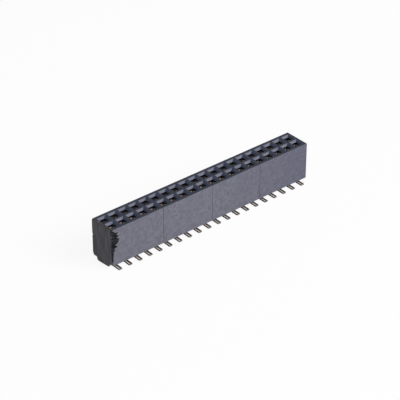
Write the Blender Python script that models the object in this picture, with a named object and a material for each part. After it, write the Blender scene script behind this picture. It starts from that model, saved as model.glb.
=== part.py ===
"""Socket strip that joins two circuit boards: two rows of twenty spring contacts in one moulded housing.

Everything is in metres with +Z up. The strip runs along X, its front row is on the -Y side, and its
solder feet rest on Z = 0. The origin is on the board, under the middle of the contact pattern.
The right end is as moulded. The left end was sawn from a longer strip, and its front edge is torn.
"""

import math

import bmesh
import bpy
from mathutils import Matrix, Vector, noise

MM = 0.001

# Contact pattern
PITCH = 1.27 * MM
ROW_SPACING = 1.27 * MM
POSITIONS = 20

# Housing, with heights above the board
HOUSING_WIDTH = 3.01 * MM
HOUSING_TOP = 4.66 * MM
WALL_FOOT = 0.48 * MM  # underside of the two outer walls
KEEL_FOOT = 0.09 * MM  # underside of the keel between the rows of feet
KEEL_PAST_ROW = 0.14 * MM  # reach of the keel outside each row's centre line
KEEL_DRAFT = 0.16 * MM  # lean of the keel's sides, out to the walls' underside
MOULDED_MARGIN = 0.784 * MM  # last contact's centre to the moulded end
MOULDED_RADIUS = 0.04 * MM

# Lead-in over each contact
FUNNEL_MOUTH = 1.00 * MM
FUNNEL_DEPTH = 0.25 * MM
THROAT = 0.72 * MM
THROAT_DEPTH = 0.06 * MM
LIP_SLOPE = 0.03 * MM  # height over which the throat widens into the cavity

# Seams of the mould's inserts
SEAM_EVERY = 5
SEAM_WIDTH = 0.07 * MM
SEAM_DEPTH = 0.035 * MM

# Stamped contact
SHEET = 0.155 * MM
CONTACT_LENGTH = 0.86 * MM  # outside size along the row
CONTACT_DEPTH = 0.76 * MM  # outside size across the row
CONTACT_CLEARANCE = 0.02 * MM  # to the cavity's wall, on every side
CHANNEL_RECESS = 0.12 * MM  # from the walls' underside up to the channel
CHANNEL_HEIGHT = 1.05 * MM
CHANNEL_FOLD = 0.07 * MM
BARB_HEIGHT = 0.42 * MM  # of the barb's point above the channel's lower edge
BARB_REACH = 0.07 * MM
BEAM_WIDTH = 0.34 * MM
PINCH_GAP = 0.29 * MM  # between the two beams where they grip a pin
PINCH_DROP = 0.72 * MM  # from the beams' tips down to the grip
TIP_FLARE = 0.60  # share of the way back out to the channel's sides that the tips reach
TIP_GAP = 0.03 * MM  # from the beams' tips up to the housing's lip
TONGUE_WIDTH = 0.38 * MM
TONGUE_LEAN = 0.04 * MM
FOOT_WIDTH = 0.41 * MM
FOOT_TIP_WIDTH = 0.28 * MM
FOOT_TIP_TAPER = 0.07 * MM
FOOT_REACH = 1.90 * MM  # tip of the foot to the strip's middle plane
FOOT_BEND = 0.20 * MM  # radius of the bend, to the middle of the sheet
FOOT_BEND_STEPS = 3

# Sawn end
SAWN_MARGIN_BACK = 0.86 * MM  # first contact's centre to the cut, at the back face
SAWN_MARGIN_FRONT = 0.622 * MM  # the same at the front face
SAWN_RIM = 0.17 * MM  # radius worn on the cut's top edge
SAWN_SIDE = 0.06 * MM  # radius worn on the cut's back edge
SAWN_WAVE = 0.02 * MM  # height of the saw's waves
SAWN_STREAK = (0.45 * MM, 1.60 * MM)  # size of a streak in the cut, across and upwards
SAWN_GRAIN = (0.25 * MM, 0.35 * MM)  # size of the finer grain in the cut
SAWN_COLUMNS = 14
SAWN_ROWS = 16
NOTCHES = (  # broken wall beside each first lead-in: across the row, depth, half width
    (ROW_SPACING / 2 - 0.06 * MM, 0.20 * MM, 0.17 * MM),
    (-ROW_SPACING / 2 + 0.10 * MM, 0.42 * MM, 0.13 * MM),
)
CORNER_CHIP_HEIGHT = 0.42 * MM  # broken lower back corner of the sawn end
CORNER_CHIP_WIDTH = 0.17 * MM
CORNER_CHIP_RUN = 1.30 * MM
NICK_DROP = 1.85 * MM  # small V in the cut's back edge, below the top
NICK_DEPTH = 0.09 * MM
NICK_HALF_HEIGHT = 0.16 * MM
NICK_RUN = 0.40 * MM

# Torn front edge of the sawn end: reach along the front face and depth below the top
TEAR_OUTLINE = (
    (0.00 * MM, 0.08 * MM),
    (0.29 * MM, 0.19 * MM),
    (0.40 * MM, 0.40 * MM),
    (0.72 * MM, 0.47 * MM),
    (0.54 * MM, 0.70 * MM),
    (0.72 * MM, 0.93 * MM),
    (0.60 * MM, 1.10 * MM),
    (0.82 * MM, 1.50 * MM),
    (0.66 * MM, 1.76 * MM),
    (0.34 * MM, 1.92 * MM),
    (0.60 * MM, 2.13 * MM),
    (0.27 * MM, 2.26 * MM),
    (0.25 * MM, 2.56 * MM),
    (0.10 * MM, 2.78 * MM),
    (0.06 * MM, 3.25 * MM),
    (0.00 * MM, 3.70 * MM),
)
TEAR_DEPTH = 0.15 * MM
TEAR_GRAIN = 0.40 * MM  # size of the lumps in the torn surface

# Space left around cutters so that they pass clear through
OVERRUN = 0.5 * MM

# What follows from the sizes above
FIRST_X = -(POSITIONS - 1) / 2 * PITCH
LAST_X = -FIRST_X
MOULDED_END_X = LAST_X + MOULDED_MARGIN
SAWN_END_X = FIRST_X - max(SAWN_MARGIN_BACK, SAWN_MARGIN_FRONT)
HALF_WIDTH = HOUSING_WIDTH / 2
CAVITY_LENGTH = CONTACT_LENGTH + 2 * CONTACT_CLEARANCE
CAVITY_DEPTH = CONTACT_DEPTH + 2 * CONTACT_CLEARANCE
THROAT_TOP = HOUSING_TOP - FUNNEL_DEPTH
LIP_BOTTOM = THROAT_TOP - THROAT_DEPTH
CAVITY_TOP = LIP_BOTTOM - LIP_SLOPE
TIP_TOP = CAVITY_TOP - TIP_GAP
CHANNEL_BOTTOM = WALL_FOOT + CHANNEL_RECESS
CHANNEL_TOP = CHANNEL_BOTTOM + CHANNEL_HEIGHT


def clear_scene():
    for obj in list(bpy.data.objects):
        bpy.data.objects.remove(obj)


def material(name, colour, roughness, metallic):
    """A Principled material. The colour is linear RGB."""
    made = bpy.data.materials.new(name)
    made.use_nodes = True
    shader = made.node_tree.nodes["Principled BSDF"]
    shader.inputs["Base Color"].default_value = (*colour, 1.0)
    shader.inputs["Roughness"].default_value = roughness
    shader.inputs["Metallic"].default_value = metallic
    return made


def finished_mesh(bm, name):
    """Closes a bmesh into a mesh whose faces all point outwards."""
    bmesh.ops.recalc_face_normals(bm, faces=bm.faces)
    mesh = bpy.data.meshes.new(name)
    bm.to_mesh(mesh)
    bm.free()
    return mesh


def add_object(name, mesh, parent=None):
    obj = bpy.data.objects.new(name, mesh)
    bpy.context.scene.collection.objects.link(obj)
    obj.parent = parent
    return obj


def cut(target, bm, name):
    """Takes the bmesh's solids out of the target with a live Boolean."""
    cutter = add_object(name, finished_mesh(bm, name), target.parent)
    cutter.hide_render = True
    cutter.display_type = "WIRE"
    modifier = target.modifiers.new(name, "BOOLEAN")
    modifier.operation = "DIFFERENCE"
    modifier.solver = "EXACT"
    modifier.object = cutter


def rectangle(bm, half_length, half_depth, centre):
    """A horizontal rectangle, as one new face."""
    made = bmesh.ops.create_grid(bm, x_segments=1, y_segments=1, size=1.0)
    bmesh.ops.scale(bm, vec=(half_length, half_depth, 1.0), verts=made["verts"])
    bmesh.ops.translate(bm, vec=centre, verts=made["verts"])
    return made["verts"][0].link_faces[0]


def extruded(bm, face, is_base):
    """Extrudes a face and returns the new face and its vertices. Only a base face stays behind."""
    made = bmesh.ops.extrude_face_region(bm, geom=[face], use_keep_orig=True)
    verts = [v for v in made["geom"] if isinstance(v, bmesh.types.BMVert)]
    if not is_base:
        bm.faces.remove(face)
    return next(f for f in made["geom"] if isinstance(f, bmesh.types.BMFace)), verts


def loft(bm, x, y, sections):
    """A closed block through rectangular sections (half length, half depth, height), lowest first."""
    half_length, half_depth, height = sections[0]
    base = face = rectangle(bm, half_length, half_depth, (x, y, height))
    to_centre = Matrix.Translation((-x, -y, 0.0))
    for next_length, next_depth, next_height in sections[1:]:
        face, verts = extruded(bm, face, is_base=face is base)
        grow = (next_length / half_length, next_depth / half_depth, 1.0)
        bmesh.ops.scale(bm, vec=grow, space=to_centre, verts=verts)
        bmesh.ops.translate(bm, vec=(0.0, 0.0, next_height - height), verts=verts)
        half_length, half_depth, height = next_length, next_depth, next_height


def prism(bm, outline, offset):
    """A closed prism: the outline's points as one face, extruded. Returns the far face."""
    base = bm.faces.new([bm.verts.new(point) for point in outline])
    far, verts = extruded(bm, base, is_base=True)
    bmesh.ops.translate(bm, vec=offset, verts=verts)
    return far


def pattern():
    """Every contact's name, place and row side, where the side is -1 at the front and 1 at the back."""
    for row, side in (("front", -1), ("back", 1)):
        for index in range(POSITIONS):
            x = FIRST_X + index * PITCH
            yield f"contact_{row}_{index + 1:02d}", x, side * ROW_SPACING / 2, side


def housing_blank():
    """The moulded section, outer walls and keel, extruded from the moulded end past the saw cut."""
    keel_foot = ROW_SPACING / 2 + KEEL_PAST_ROW
    keel_root = keel_foot + KEEL_DRAFT
    half = (
        (HALF_WIDTH, HOUSING_TOP),
        (HALF_WIDTH, WALL_FOOT),
        (keel_root, WALL_FOOT),
        (keel_foot, KEEL_FOOT),
    )
    section = [(-y, z) for y, z in half] + [(y, z) for y, z in reversed(half)]
    bm = bmesh.new()
    length = MOULDED_END_X - SAWN_END_X + OVERRUN
    prism(bm, [(MOULDED_END_X, y, z) for y, z in section], (-length, 0.0, 0.0))
    bmesh.ops.recalc_face_normals(bm, faces=bm.faces)
    moulded = [e for e in bm.edges if is_moulded_edge(e)]
    bmesh.ops.bevel(
        bm, geom=moulded, offset=MOULDED_RADIUS, affect="EDGES", segments=1, profile=0.5, material=-1
    )
    return finished_mesh(bm, "housing")


def is_moulded_edge(edge):
    """True for the outer walls' long edges and the whole outline of the moulded end, above the keel."""
    middle = (edge.verts[0].co + edge.verts[1].co) / 2
    on_wall = abs(abs(middle.y) - HALF_WIDTH) < MOULDED_RADIUS
    on_top_of_end = middle.z > WALL_FOOT + MOULDED_RADIUS and middle.x > LAST_X
    return on_wall or on_top_of_end


def cavities():
    """Funnel, throat and contact cavity of every position, open at the top and at the bottom."""
    bm = bmesh.new()
    slope = (FUNNEL_MOUTH - THROAT) / 2 / FUNNEL_DEPTH
    over = FUNNEL_MOUTH / 2 + slope * OVERRUN
    sections = (
        (CAVITY_LENGTH / 2, CAVITY_DEPTH / 2, -OVERRUN),
        (CAVITY_LENGTH / 2, CAVITY_DEPTH / 2, CAVITY_TOP),
        (THROAT / 2, THROAT / 2, LIP_BOTTOM),
        (THROAT / 2, THROAT / 2, THROAT_TOP),
        (over, over, HOUSING_TOP + OVERRUN),
    )
    for _, x, y, _ in pattern():
        loft(bm, x, y, sections)
    return bm


def seams():
    """Fine V grooves down both long faces, after every few positions."""
    bm = bmesh.new()
    for index in range(SEAM_EVERY, POSITIONS, SEAM_EVERY):
        x = FIRST_X + (index - 0.5) * PITCH
        for side in (-1, 1):
            face = side * HALF_WIDTH
            outline = (
                (x - SEAM_WIDTH, face + side * SEAM_DEPTH, WALL_FOOT - OVERRUN),
                (x + SEAM_WIDTH, face + side * SEAM_DEPTH, WALL_FOOT - OVERRUN),
                (x, face - side * SEAM_DEPTH, WALL_FOOT - OVERRUN),
            )
            prism(bm, outline, (0.0, 0.0, HOUSING_TOP - WALL_FOOT + 2 * OVERRUN))
    return bm


def worn(distance, radius):
    """How far an edge worn to this radius falls back at a distance inside its corner."""
    inside = radius - max(0.0, min(distance, radius))
    return radius - math.sqrt(radius**2 - inside**2)


def sawn_x(y, z):
    """The cut's surface: a skew plane with the saw's waves, worn round at its top and back edges."""
    share = (y + HALF_WIDTH) / HOUSING_WIDTH
    margin = SAWN_MARGIN_FRONT + (SAWN_MARGIN_BACK - SAWN_MARGIN_FRONT) * share
    streak = noise.noise(Vector((y / SAWN_STREAK[0], z / SAWN_STREAK[1], 0.3)))
    grain = noise.noise(Vector((y / SAWN_GRAIN[0], z / SAWN_GRAIN[1], 7.1)))
    waves = SAWN_WAVE * (streak + 0.5 * grain)
    rounding = worn(HOUSING_TOP - z, SAWN_RIM) + worn(HALF_WIDTH - y, SAWN_SIDE)
    return FIRST_X - margin + abs(waves) + rounding


def saw_cut():
    """Everything beyond the saw cut, as one block whose right side is the cut's rough surface."""
    bm = bmesh.new()
    made = bmesh.ops.create_grid(bm, x_segments=SAWN_COLUMNS, y_segments=SAWN_ROWS, size=1.0)
    surface = made["verts"]
    for vert in surface:
        # Sine spacing sets the grid's lines closer together near the worn edges
        y = (HALF_WIDTH + 0.1 * OVERRUN) * math.sin(vert.co.x * math.pi / 2)
        z = (HOUSING_TOP / 2 + 0.1 * OVERRUN) * math.sin(vert.co.y * math.pi / 2) + HOUSING_TOP / 2
        vert.co = (sawn_x(y, z), y, z)
    made = bmesh.ops.extrude_face_region(bm, geom=list(bm.faces), use_keep_orig=True)
    for vert in (v for v in made["geom"] if isinstance(v, bmesh.types.BMVert)):
        vert.co.x = SAWN_END_X - 2 * OVERRUN
    return bm


def notches():
    """The thin wall beside each first lead-in, broken through in a V."""
    bm = bmesh.new()
    for y, depth, half_width in NOTCHES:
        rise = OVERRUN / depth * half_width
        outline = (
            (SAWN_END_X - OVERRUN, y, HOUSING_TOP - depth),
            (SAWN_END_X - OVERRUN, y + half_width + rise, HOUSING_TOP + OVERRUN),
            (SAWN_END_X - OVERRUN, y - half_width - rise, HOUSING_TOP + OVERRUN),
        )
        prism(bm, outline, (FIRST_X - SAWN_END_X + OVERRUN, 0.0, 0.0))
    return bm


def nick():
    """A small V in the cut's back edge."""
    bm = bmesh.new()
    rise = OVERRUN / NICK_DEPTH * NICK_HALF_HEIGHT
    middle = HOUSING_TOP - NICK_DROP
    outline = (
        (SAWN_END_X + NICK_DEPTH, HALF_WIDTH - NICK_RUN, middle),
        (SAWN_END_X - OVERRUN, HALF_WIDTH - NICK_RUN, middle + NICK_HALF_HEIGHT + rise),
        (SAWN_END_X - OVERRUN, HALF_WIDTH - NICK_RUN, middle - NICK_HALF_HEIGHT - rise),
    )
    prism(bm, outline, (0.0, NICK_RUN + OVERRUN, 0.0))
    return bm


def tear():
    """The jagged piece torn out of the sawn end's front edge, shallower towards its outline."""
    bm = bmesh.new()
    edge_x = FIRST_X - SAWN_MARGIN_FRONT
    face_y = -HALF_WIDTH
    outside = [(edge_x - OVERRUN, face_y - OVERRUN, HOUSING_TOP - TEAR_OUTLINE[i][1]) for i in (-1, 0)]
    outline = [(edge_x + reach, face_y - OVERRUN, HOUSING_TOP - down) for reach, down in TEAR_OUTLINE]
    mouth = prism(bm, outside + outline, (0.0, OVERRUN, 0.0))
    _, floor = extruded(bm, mouth, is_base=False)
    for vert in floor:
        reach = max(0.0, vert.co.x - edge_x)
        rough = noise.noise(vert.co / TEAR_GRAIN)
        vert.co.y += TEAR_DEPTH * (1.0 + 0.5 * rough)
        vert.co.x -= 0.30 * reach
    return bm


def corner_chip():
    """A wedge off the sawn end's lower back corner, which runs out along the strip."""
    bm = bmesh.new()
    rise = CORNER_CHIP_HEIGHT / CORNER_CHIP_WIDTH * OVERRUN
    outline = (
        (SAWN_END_X, HALF_WIDTH - CORNER_CHIP_WIDTH - OVERRUN, WALL_FOOT - rise),
        (SAWN_END_X, HALF_WIDTH + OVERRUN, WALL_FOOT + CORNER_CHIP_HEIGHT + rise),
        (SAWN_END_X, HALF_WIDTH + OVERRUN, WALL_FOOT - rise),
    )
    far = prism(bm, outline, (CORNER_CHIP_RUN, 0.0, 0.0))
    near = [v for v in bm.verts if v not in far.verts]
    run_out = Vector((0.0, CORNER_CHIP_WIDTH / 2, -CORNER_CHIP_HEIGHT / 2))
    bmesh.ops.translate(bm, vec=run_out, verts=far.verts)
    beyond = Vector((-OVERRUN, 0.0, 0.0)) - run_out * OVERRUN / CORNER_CHIP_RUN
    bmesh.ops.translate(bm, vec=beyond, verts=near)
    return bm


def build_housing(parent, moulding):
    housing = add_object("housing", housing_blank(), parent)
    housing.data.materials.append(moulding)
    cut(housing, cavities(), "cut_cavities")
    cut(housing, seams(), "cut_seams")
    cut(housing, saw_cut(), "cut_saw")
    cut(housing, notches(), "cut_notches")
    cut(housing, nick(), "cut_nick")
    cut(housing, tear(), "cut_tear")
    cut(housing, corner_chip(), "cut_corner_chip")


def pull(bm, edges, offset, width=None):
    """Extrudes a strip's end edges by an offset, and gives the new end a width about its middle."""
    made = bmesh.ops.extrude_edge_only(bm, edges=edges)
    verts = [v for v in made["geom"] if isinstance(v, bmesh.types.BMVert)]
    bmesh.ops.translate(bm, vec=offset, verts=verts)
    if width is not None:
        set_width(verts, width)
    return [e for e in made["geom"] if isinstance(e, bmesh.types.BMEdge)]


def set_width(verts, width):
    """Spreads two vertices to this distance apart about their middle."""
    first, second = verts
    middle = (first.co + second.co) / 2
    along = (second.co - first.co).normalized() * width / 2
    first.co = middle - along
    second.co = middle + along


def channel(bm):
    """The folded base that holds the contact: a U of sheet, open towards the strip's outside.

    Its sides end in barbs part of the way up. Returns its upper and lower edges from side to side.
    """
    side_x = CONTACT_LENGTH / 2 - SHEET / 2
    spine_y = CONTACT_DEPTH / 2 - SHEET / 2
    open_y = -CONTACT_DEPTH / 2 + BARB_REACH
    corners = (
        (-side_x, open_y),
        (-side_x, spine_y - CHANNEL_FOLD),
        (-side_x + CHANNEL_FOLD, spine_y),
        (side_x - CHANNEL_FOLD, spine_y),
        (side_x, spine_y - CHANNEL_FOLD),
        (side_x, open_y),
    )
    verts = [bm.verts.new((x, y, CHANNEL_BOTTOM)) for x, y in corners]
    lower = [bm.edges.new(pair) for pair in zip(verts, verts[1:])]
    edges = lower
    for rise, reach in ((BARB_HEIGHT, BARB_REACH), (CHANNEL_HEIGHT - BARB_HEIGHT, 0.0)):
        made = bmesh.ops.extrude_edge_only(bm, edges=edges)
        raised = [v for v in made["geom"] if isinstance(v, bmesh.types.BMVert)]
        bmesh.ops.translate(bm, vec=(0.0, 0.0, rise), verts=raised)
        outer = min(v.co.y for v in raised)
        for vert in raised:
            if vert.co.y < outer + SHEET:
                vert.co.y = open_y - reach
        edges = [e for e in made["geom"] if isinstance(e, bmesh.types.BMEdge)]
    return edges, lower


def middle_of(edge):
    return (edge.verts[0].co + edge.verts[1].co) / 2


def contact_sheet():
    """The contact's mid surface about its own centre line, with its spine on the +Y side."""
    bm = bmesh.new()
    upper, lower = channel(bm)
    side_x = CONTACT_LENGTH / 2 - SHEET / 2
    spine_y = CONTACT_DEPTH / 2 - SHEET / 2
    grip_x = PINCH_GAP / 2 + SHEET / 2
    height = TIP_TOP - CHANNEL_TOP
    grip_rise = height - PINCH_DROP
    for side in (-1, 1):
        beam = [e for e in upper if abs(middle_of(e).x - side * side_x) < 0.1 * SHEET]
        inwards = side * (grip_x - side_x)
        beam = pull(bm, beam, (0.0, -0.2 * middle_of(beam[0]).y, 0.25 * grip_rise), BEAM_WIDTH)
        beam = pull(bm, beam, (0.8 * inwards, 0.0, 0.65 * grip_rise))
        beam = pull(bm, beam, (0.2 * inwards, 0.0, 0.10 * grip_rise))
        beam = pull(bm, beam, (-0.25 * TIP_FLARE * inwards, 0.0, 0.25 * PINCH_DROP))
        pull(bm, beam, (-0.75 * TIP_FLARE * inwards, 0.0, 0.75 * PINCH_DROP))
    tongue = [e for e in upper if abs(middle_of(e).x) < 0.1 * SHEET]
    tongue = pull(bm, tongue, (0.0, 0.0, 0.2 * height), TONGUE_WIDTH)
    tongue = pull(bm, tongue, (0.0, -TONGUE_LEAN, 0.6 * height))
    pull(bm, tongue, (0.0, TONGUE_LEAN, 0.2 * height))
    leg = [e for e in lower if abs(middle_of(e).x) < 0.1 * SHEET]
    leg = pull(bm, leg, (0.0, 0.0, -0.5 * (CHANNEL_BOTTOM - SHEET / 2 - FOOT_BEND)), FOOT_WIDTH)
    leg = pull(bm, leg, (0.0, 0.0, -0.5 * (CHANNEL_BOTTOM - SHEET / 2 - FOOT_BEND)))
    for step in range(FOOT_BEND_STEPS):
        turn = [math.pi / 2 * (step + i) / FOOT_BEND_STEPS for i in (0, 1)]
        back = FOOT_BEND * (math.cos(turn[1]) - math.cos(turn[0]))
        down = FOOT_BEND * (math.sin(turn[0]) - math.sin(turn[1]))
        leg = pull(bm, leg, (0.0, back, down))
    foot = FOOT_REACH - ROW_SPACING / 2 + spine_y - FOOT_BEND
    leg = pull(bm, leg, (0.0, -(foot - FOOT_TIP_TAPER), 0.0))
    pull(bm, leg, (0.0, -FOOT_TIP_TAPER, 0.0), FOOT_TIP_WIDTH)
    return finished_mesh(bm, "contact_sheet")


def build_contacts(parent, plating):
    """Forty contacts that share one mid surface. Both rows turn their spine to the strip's middle."""
    sheet = contact_sheet()
    sheet.materials.append(plating)
    sheet.shade_smooth()
    for name, x, y, side in pattern():
        contact = add_object(name, sheet, parent)
        contact.location = (x, y, 0.0)
        contact.rotation_euler.z = math.pi if side > 0 else 0.0
        thickness = contact.modifiers.new("sheet thickness", "SOLIDIFY")
        thickness.thickness = SHEET
        thickness.offset = 0.0
        thickness.use_even_offset = True


def main():
    clear_scene()
    connector = add_object("connector", None)
    moulding = material("moulded charcoal LCP", (0.085, 0.088, 0.105), 0.55, 0.0)
    plating = material("gold plated phosphor bronze", (0.80, 0.60, 0.32), 0.28, 1.0)
    build_housing(connector, moulding)
    build_contacts(connector, plating)


main()
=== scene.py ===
# %% [markdown]
# # Dressing a socket strip
# This part joins two circuit boards. A dark moulded housing holds two rows of sprung contacts,
# whose flat feet are soldered to the lower board while a pin header plugs in from above.
# The frame brings the true solids. This lesson gives each of them its fine surface: rounded rims,
# saw marks, a torn corner, rolled metal and plating. It starts by loading the frame.

# %% Load the frame
import math

import bmesh
import bpy
from mathutils import Matrix, Vector, noise


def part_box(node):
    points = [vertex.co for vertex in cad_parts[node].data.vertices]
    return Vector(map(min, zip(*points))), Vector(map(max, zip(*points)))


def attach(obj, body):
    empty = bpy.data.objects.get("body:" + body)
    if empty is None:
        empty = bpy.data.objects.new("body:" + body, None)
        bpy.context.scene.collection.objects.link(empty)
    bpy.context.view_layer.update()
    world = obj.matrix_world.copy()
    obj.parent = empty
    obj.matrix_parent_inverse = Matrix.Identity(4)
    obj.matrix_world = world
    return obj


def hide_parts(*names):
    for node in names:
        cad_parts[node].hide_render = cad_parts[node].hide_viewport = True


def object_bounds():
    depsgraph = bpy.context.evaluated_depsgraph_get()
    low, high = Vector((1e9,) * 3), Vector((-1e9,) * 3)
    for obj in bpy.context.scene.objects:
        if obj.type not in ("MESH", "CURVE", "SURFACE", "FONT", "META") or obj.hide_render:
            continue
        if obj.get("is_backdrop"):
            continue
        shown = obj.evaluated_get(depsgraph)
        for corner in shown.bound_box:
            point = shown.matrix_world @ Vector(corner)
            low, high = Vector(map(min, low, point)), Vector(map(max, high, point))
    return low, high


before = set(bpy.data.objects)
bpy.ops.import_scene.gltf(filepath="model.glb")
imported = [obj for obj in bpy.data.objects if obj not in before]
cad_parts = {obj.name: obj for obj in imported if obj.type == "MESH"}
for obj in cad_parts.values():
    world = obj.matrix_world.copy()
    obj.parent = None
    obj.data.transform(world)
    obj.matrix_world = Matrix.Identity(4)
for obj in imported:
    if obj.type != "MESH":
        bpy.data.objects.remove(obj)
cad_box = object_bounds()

MM = 0.001
print("nodes in the frame:", len(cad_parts))

# %% [markdown]
# ## Sizes
# Everything here is in metres. The contact pattern, the housing's outside and the reach of the feet
# could be written as numbers. They come from the frame instead, because a measured value can't drift
# away from the solid that it describes.

# %% Sizes from the frame


def middle_x(node):
    """The middle of a node along the strip."""
    low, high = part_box(node)
    return (low.x + high.x) / 2


POSITIONS = sum(name.startswith("contact_front_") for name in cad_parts)
FIRST_X = middle_x("contact_front_01")
LAST_X = middle_x(f"contact_front_{POSITIONS:02d}")
PITCH = (LAST_X - FIRST_X) / (POSITIONS - 1)
ROW_SPACING = PITCH
housing_low, housing_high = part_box("housing")
TOP = housing_high.z
KEEL_FOOT = housing_low.z
HALF_WIDTH = housing_high.y
MOULDED_END_X = housing_high.x
SAWN_END_X = housing_low.x
FOOT_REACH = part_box("contact_back_01")[1].y
print(f"pitch {PITCH / MM:.3f} mm, housing top {TOP / MM:.2f} mm above the board")

# %% [markdown]
# ## Sizes inside the housing
# A box says nothing of what is inside it, so the funnels, throats and cavities are written here,
# once, in millimetres. Each height follows from the one above it, as the levels of the mould's core
# pins do, and a change to the funnel moves everything below.

# %% Sizes inside the housing
WALL_FOOT = 0.48 * MM
KEEL_PAST_ROW = 0.14 * MM
KEEL_DRAFT = 0.16 * MM
EDGE_RADIUS = 0.04 * MM
FUNNEL_MOUTH = 1.00 * MM
FUNNEL_DEPTH = 0.25 * MM
THROAT = 0.72 * MM
THROAT_DEPTH = 0.06 * MM
LIP_SLOPE = 0.03 * MM
CONTACT_LENGTH = 0.86 * MM
CONTACT_DEPTH = 0.76 * MM
CONTACT_CLEARANCE = 0.02 * MM
OVERRUN = 0.5 * MM
THROAT_TOP = TOP - FUNNEL_DEPTH
LIP_BOTTOM = THROAT_TOP - THROAT_DEPTH
CAVITY_TOP = LIP_BOTTOM - LIP_SLOPE
print(f"funnel {FUNNEL_MOUTH / MM:.2f} mm wide, throat {THROAT / MM:.2f} mm")
print(f"cavities reach up to {CAVITY_TOP / MM:.2f} mm above the board")

# %% [markdown]
# ## Camera
# The photograph was taken from the strip's sawn end, a third of a right angle above the board, with
# a long lens that keeps the far end almost as large as the near one. A constraint could aim the
# camera at an empty object. But it stands on a line from a point of the strip, so that point, two
# angles and a distance are all that it needs.

# %% Camera
CAMERA_AZIMUTH = math.radians(-39.84)
CAMERA_ELEVATION = math.radians(32.76)
CAMERA_DISTANCE = 179.1 * MM
CAMERA_LENS = 160.04
SENSOR = 36.0
FRAME_CENTRE = Vector((-0.953 * MM, -0.649 * MM, TOP - 1.723 * MM))


def direction(azimuth, elevation):
    """The unit vector from the strip towards a place round it. Azimuth 0 is the front."""
    level = math.cos(elevation)
    return Vector((math.sin(azimuth) * level, -math.cos(azimuth) * level, math.sin(elevation)))


camera_data = bpy.data.cameras.new("camera")
camera_data.lens = CAMERA_LENS
camera_data.sensor_width = SENSOR
camera_data.clip_start = 1.0 * MM
camera = bpy.data.objects.new("camera", camera_data)
camera.location = FRAME_CENTRE + direction(CAMERA_AZIMUTH, CAMERA_ELEVATION) * CAMERA_DISTANCE
camera.rotation_euler = (math.pi / 2 - CAMERA_ELEVATION, 0.0, CAMERA_AZIMUTH)
bpy.context.scene.collection.objects.link(camera)
bpy.context.scene.camera = camera
print("camera at", [round(v / MM, 1) for v in camera.location], "mm")

# %% [markdown]
# ## Light
# The photograph has one broad soft lamp in front and to the right: it lights the long wall and the
# funnels' back slopes, and leaves the sawn end and the funnels' right slopes in shade. A sun would
# light them as evenly, but with hard shadows, so the lamps are areas. A second, weaker lamp above
# the lens reaches down into the holes. An even world fills the rest, and no side goes black.

# %% Light
scene = bpy.context.scene
scene.view_settings.view_transform = "Standard"
WORLD_LEVEL = 0.24
LAMP_DISTANCE = 400 * MM
LAMPS = (  # name, azimuth and elevation in degrees, size, level
    ("softbox in front", 34, 36, 230 * MM, 0.95),
    ("lamp above the lens", -42, 44, 130 * MM, 0.25),
)

world = bpy.data.worlds.new("studio")
world.use_nodes = True
world.node_tree.nodes["Background"].inputs["Color"].default_value = (1.0, 1.0, 1.0, 1.0)
world.node_tree.nodes["Background"].inputs["Strength"].default_value = WORLD_LEVEL
scene.world = world

for name, azimuth, elevation, size, level in LAMPS:
    # A level of 1 lights a surface that faces the lamp as much as a white world would
    lamp_data = bpy.data.lights.new(name, "AREA")
    lamp_data.size = size
    lamp_data.energy = level * math.pi**2 * LAMP_DISTANCE**2
    lamp = bpy.data.objects.new(name, lamp_data)
    lamp.location = direction(math.radians(azimuth), math.radians(elevation)) * LAMP_DISTANCE
    lamp.rotation_euler = (math.radians(90 - elevation), 0.0, math.radians(azimuth))
    scene.collection.objects.link(lamp)
    print(f"{name}: {lamp_data.energy:.3f} W")

# %% [markdown]
# ## Helpers for materials
# A material here is a small tree of nodes, which could be drawn in the editor. Written with one
# function that adds, sets and links a node, it reads as a list: masks that say where, and tints
# laid over each other that say what. Colours are written as they look, in sRGB hex, and turned to
# the linear values that Blender works with.

# %% Helpers for materials
BEVEL_SAMPLES = 6
FLAT_LEAN = 0.995  # cosine between the rounded and the true normal where an edge's mask begins
EDGE_LEAN = 0.90  # and where it is full


def colour(text):
    """An sRGB hex colour as linear red, green, blue and alpha."""
    channels = [int(text[i : i + 2], 16) / 255 for i in (1, 3, 5)]
    return (*[c / 12.92 if c <= 0.04045 else ((c + 0.055) / 1.055) ** 2.4 for c in channels], 1.0)


def add(tree, kind, inputs=None, output=0, **settings):
    """Adds a node and returns one of its outputs. An input is a value or another node's output."""
    node = tree.nodes.new(kind)
    for name, value in settings.items():
        setattr(node, name, value)
    for name, value in (inputs or {}).items():
        if isinstance(value, bpy.types.NodeSocket):
            tree.links.new(value, node.inputs[name])
        else:
            node.inputs[name].default_value = value
    return node.outputs[output]


def new_material(name, **values):
    """A Principled material with its constant values on the shader's own sockets."""
    made = bpy.data.materials.new(name)
    made.use_nodes = True
    shader = made.node_tree.nodes["Principled BSDF"]
    for socket, value in values.items():
        shader.inputs[socket.replace("_", " ")].default_value = value
    return made, made.node_tree, shader


def patches(tree, place, size, low=0.35, high=0.65, least=0.0, most=1.0, detail=3.0):
    """A mask of patches about this size: least where the noise is under low, most where over high."""
    lumps = add(tree, "ShaderNodeTexNoise", {"Vector": place, "Scale": 1.0 / size, "Detail": detail})
    span = {"From Min": low, "From Max": high, "To Min": least, "To Max": most}
    return add(tree, "ShaderNodeMapRange", {"Value": lumps, **span})


def ramp(tree, place, axis, start, end, most=1.0):
    """A mask that rises along an axis of the part, from 0 at the start to most at the end."""
    along = add(tree, "ShaderNodeSeparateXYZ", {0: place}, axis)
    span = {"From Min": start, "From Max": end, "To Max": most}
    return add(tree, "ShaderNodeMapRange", {"Value": along, **span})


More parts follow.
